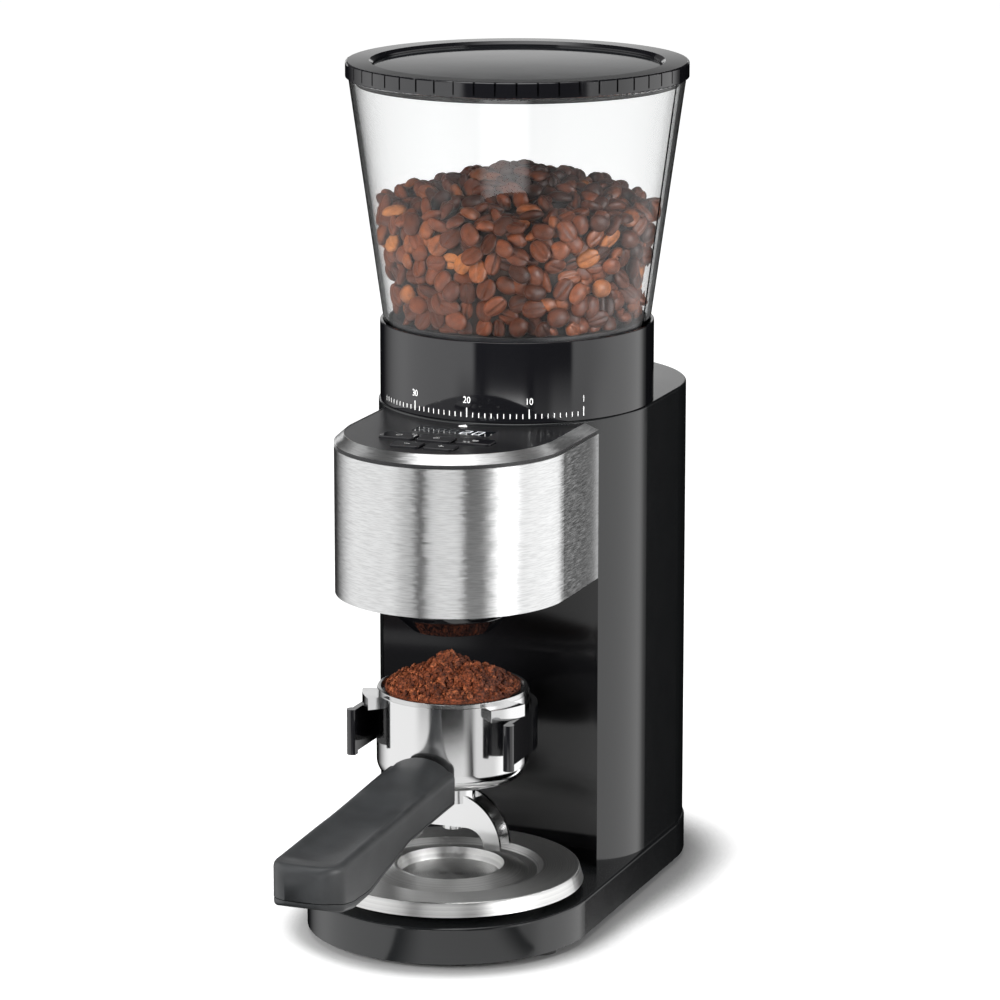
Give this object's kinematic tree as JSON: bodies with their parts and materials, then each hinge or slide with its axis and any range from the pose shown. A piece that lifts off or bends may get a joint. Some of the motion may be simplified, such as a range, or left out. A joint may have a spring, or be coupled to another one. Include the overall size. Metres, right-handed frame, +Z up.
{
  "type": "burr coffee grinder",
  "caption": "Upright burr coffee grinder: clear bean hopper on a scaled collar, steel-wrapped head, fork with a portafilter, dished catch plate, rounded column and base.",
  "frame": {"origin": "on the standing surface, in the middle of the bounding box", "axes": "+Z up, front (head, handle) towards -Y, +X to the right when seen from the front's back"},
  "size_m": [0.1606, 0.37, 0.3964],
  "materials": {
    "black_gloss": "high gloss",
    "shell_grey": "gloss",
    "matte_black": "satin",
    "brushed_wrap": "vertical brushing",
    "turned_plate": "turned",
    "chrome_cup": "polished",
    "basket_steel": "polished",
    "handle_black": "satin",
    "inlay_black": "satin",
    "clear_plastic": "clear",
    "coffee_bean": "roasted, faint sheen",
    "ground_coffee": "granular",
    "rubber_black": "matte",
    "display_dark": "gloss",
    "mark_white": "print",
    "circuit_green": "satin",
    "gear_nylon": "satin",
    "tool_steel": "ground",
    "bearing_bronze": "satin",
    "motor_steel": "zinc"
  },
  "bodies": {
    "housing": {"base_housing": "shell_grey", "bottom_plate": "matte_black", "foot_front_left": "rubber_black", "foot_front_right": "rubber_black", "foot_rear_left": "rubber_black", "foot_rear_right": "rubber_black", "body_shell": "shell_grey", "front_panel": "black_gloss", "top_cover": "shell_grey", "head_housing": "matte_black", "steel_wrap": "brushed_wrap", "bevel_trim": "brushed_wrap", "control_panel": "black_gloss", "lcd_window": "display_dark", "lcd_module": "matte_black", "control_board": "circuit_green", "setting_pointer": "mark_white", "outlet_funnel": "black_gloss", "grounds_chute": "matte_black", "burr_chamber": "matte_black", "gearbox_housing": "matte_black", "gearbox_cover": "matte_black", "motor_can": "motor_steel", "idler_axle": "tool_steel", "lower_bearing": "bearing_bronze", "upper_bearing": "bearing_bronze", "portafilter_fork": "black_gloss", "power_board": "circuit_green", "cord_gland": "rubber_black"},
    "rotor": {"motor_rotor": "motor_steel", "motor_pinion": "tool_steel"},
    "idler": {"idler_gear": "gear_nylon"},
    "burr_drive": {"output_gear": "gear_nylon", "drive_shaft": "tool_steel", "cone_burr": "tool_steel", "burr_bolt": "tool_steel", "sweeper": "matte_black"},
    "burr_carriage": {"ring_burr": "tool_steel", "burr_carrier": "matte_black"},
    "adjuster": {"adjuster_ring": "matte_black"},
    "hopper_unit": {"scale_ring": "black_gloss", "hopper": "clear_plastic", "hopper_floor": "matte_black", "bean_fill": "coffee_bean"},
    "lid": {"lid_rim": "black_gloss", "lid_panel": "black_gloss", "lid_seal": "rubber_black"},
    "drip_plate": {"catch_plate": "turned_plate"},
    "portafilter": {"portafilter_body": "chrome_cup", "filter_basket": "basket_steel", "coffee_grounds": "ground_coffee", "spout": "chrome_cup", "handle": "handle_black", "handle_inlay": "inlay_black"},
    "button_left_body": {"button_left": "black_gloss"},
    "button_centre_body": {"button_centre": "black_gloss"},
    "button_right_body": {"button_right": "black_gloss"},
    "button_minus_body": {"button_minus": "black_gloss"},
    "button_plus_body": {"button_plus": "black_gloss"}
  },
  "joints": [
    {"name": "grind_adjust", "type": "hinge", "parent": "housing", "child": "adjuster", "pos_m": [0, 0.0725, 0.2346], "axis": [0, 0, 1], "range_deg": [-49.4, 49.4]},
    {"name": "burr_feed", "type": "slide", "parent": "housing", "child": "burr_carriage", "axis": [0, 0, 1], "range_m": [-0.00075, 0.00075]},
    {"name": "hopper_lift", "type": "slide", "parent": "adjuster", "child": "hopper_unit", "axis": [0, 0, 1], "range_m": [0, 0.12]},
    {"name": "lid_lift", "type": "slide", "parent": "hopper_unit", "child": "lid", "axis": [0, 0, 1], "range_m": [0, 0.08]},
    {"name": "motor_spin", "type": "hinge", "parent": "housing", "child": "rotor", "pos_m": [0, 0.1305, 0.17], "axis": [0, 0, 1], "continuous": true},
    {"name": "idler_spin", "type": "hinge", "parent": "housing", "child": "idler", "pos_m": [0.0271, 0.10458, 0.175], "axis": [0, 0, 1], "continuous": true},
    {"name": "burr_spin", "type": "hinge", "parent": "housing", "child": "burr_drive", "pos_m": [0, 0.0725, 0.18], "axis": [0, 0, 1], "continuous": true},
    {"name": "plate_lift", "type": "slide", "parent": "housing", "child": "drip_plate", "axis": [0, 0, 1], "range_m": [0, 0.008]},
    {"name": "portafilter_pull", "type": "slide", "parent": "housing", "child": "portafilter", "axis": [0, -1, 0], "range_m": [0, 0.13]},
    {"name": "button_left_press", "type": "slide", "parent": "housing", "child": "button_left_body", "axis": [0, 0, -1], "range_m": [0, 0.0008], "stiffness_N_per_m": 400, "springref_m": -0.002},
    {"name": "button_centre_press", "type": "slide", "parent": "housing", "child": "button_centre_body", "axis": [0, 0, -1], "range_m": [0, 0.0008], "stiffness_N_per_m": 400, "springref_m": -0.002},
    {"name": "button_right_press", "type": "slide", "parent": "housing", "child": "button_right_body", "axis": [0, 0, -1], "range_m": [0, 0.0008], "stiffness_N_per_m": 400, "springref_m": -0.002},
    {"name": "button_minus_press", "type": "slide", "parent": "housing", "child": "button_minus_body", "axis": [0, 0, -1], "range_m": [0, 0.0008], "stiffness_N_per_m": 400, "springref_m": -0.002},
    {"name": "button_plus_press", "type": "slide", "parent": "housing", "child": "button_plus_body", "axis": [0, 0, -1], "range_m": [0, 0.0008], "stiffness_N_per_m": 400, "springref_m": -0.002}
  ],
  "couplings": [
    {"joint": "burr_feed", "follows": "grind_adjust", "m_per_rad": 0.00079577},
    {"joint": "idler_spin", "follows": "motor_spin", "ratio": -0.25},
    {"joint": "burr_spin", "follows": "motor_spin", "ratio": 0.083333}
  ]
}
